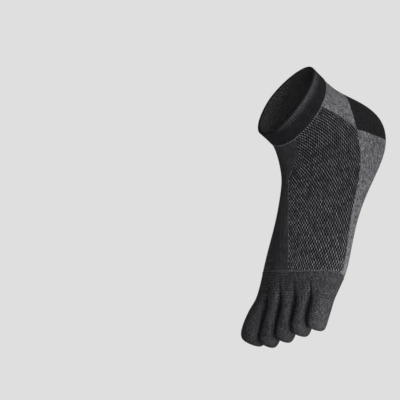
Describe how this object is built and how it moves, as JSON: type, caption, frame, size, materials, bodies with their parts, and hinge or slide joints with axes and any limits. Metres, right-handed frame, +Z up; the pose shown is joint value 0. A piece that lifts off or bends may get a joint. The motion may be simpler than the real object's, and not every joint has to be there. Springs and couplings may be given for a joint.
{
  "type": "toe sock",
  "caption": "Low-cut knitted sock for a left foot with a separate pocket for each toe, a ribbed cuff, mesh sides and a dark heel.",
  "frame": {"origin": "inner face of the sole under the ankle, where the foot that holds the sock in shape stands in it", "axes": "+Z up the leg, -Y towards the toes, +X towards the little toe"},
  "size_m": [0.0976, 0.2525, 0.1216],
  "materials": {
    "black_rib": "ribbed knit, matt",
    "black_knit": "plain knit, matt",
    "dark_mesh": "open mesh knit, matt",
    "dark_knit": "plain knit, matt",
    "grey_marl": "mottled plain knit, matt",
    "dark_marl": "mottled plain knit, matt"
  },
  "bodies": {
    "root": {"cuff": "black_rib", "outer_mesh": "dark_mesh", "inner_mesh": "dark_mesh", "instep_strip": "dark_knit", "ankle_back": "grey_marl", "heel_pocket": "black_knit", "sole": "grey_marl", "forefoot": "dark_marl", "big_toe": "dark_marl", "second_toe": "dark_marl", "third_toe": "dark_marl", "fourth_toe": "dark_marl", "little_toe": "dark_marl"}
  },
  "joints": []
}
